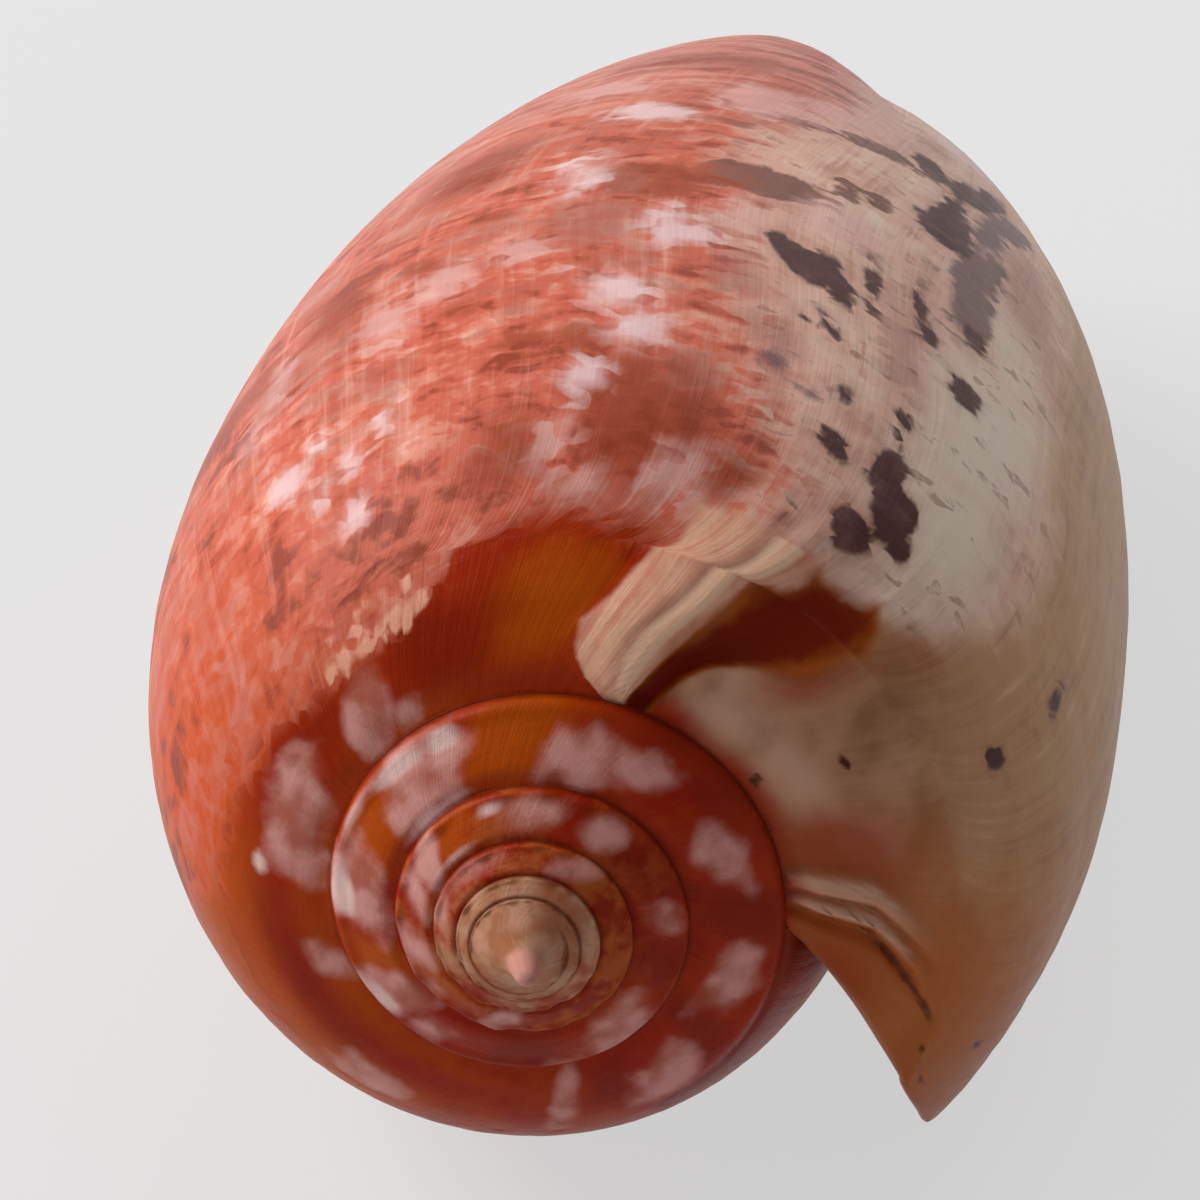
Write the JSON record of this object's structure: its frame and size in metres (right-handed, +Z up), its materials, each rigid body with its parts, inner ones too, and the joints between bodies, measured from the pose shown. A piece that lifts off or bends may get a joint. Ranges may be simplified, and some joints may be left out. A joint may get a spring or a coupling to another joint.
{
  "type": "cone shell",
  "caption": "Inflated right-handed sea shell with a low pointed spire and a long open aperture, lying on its aperture.",
  "frame": {"origin": "bottom centre of the bounding box, on the surface that the shell lies on", "axes": "+Z up; +Y along the shell's length, from the spire at -Y to the siphonal end; +X towards the outer lip"},
  "size_m": [0.0306, 0.0602, 0.0271],
  "materials": {
    "shell": "glossy polished shell, coral and orange-brown with cream and purple-brown blotches"
  },
  "bodies": {
    "root": {"shell": "shell"}
  },
  "joints": []
}
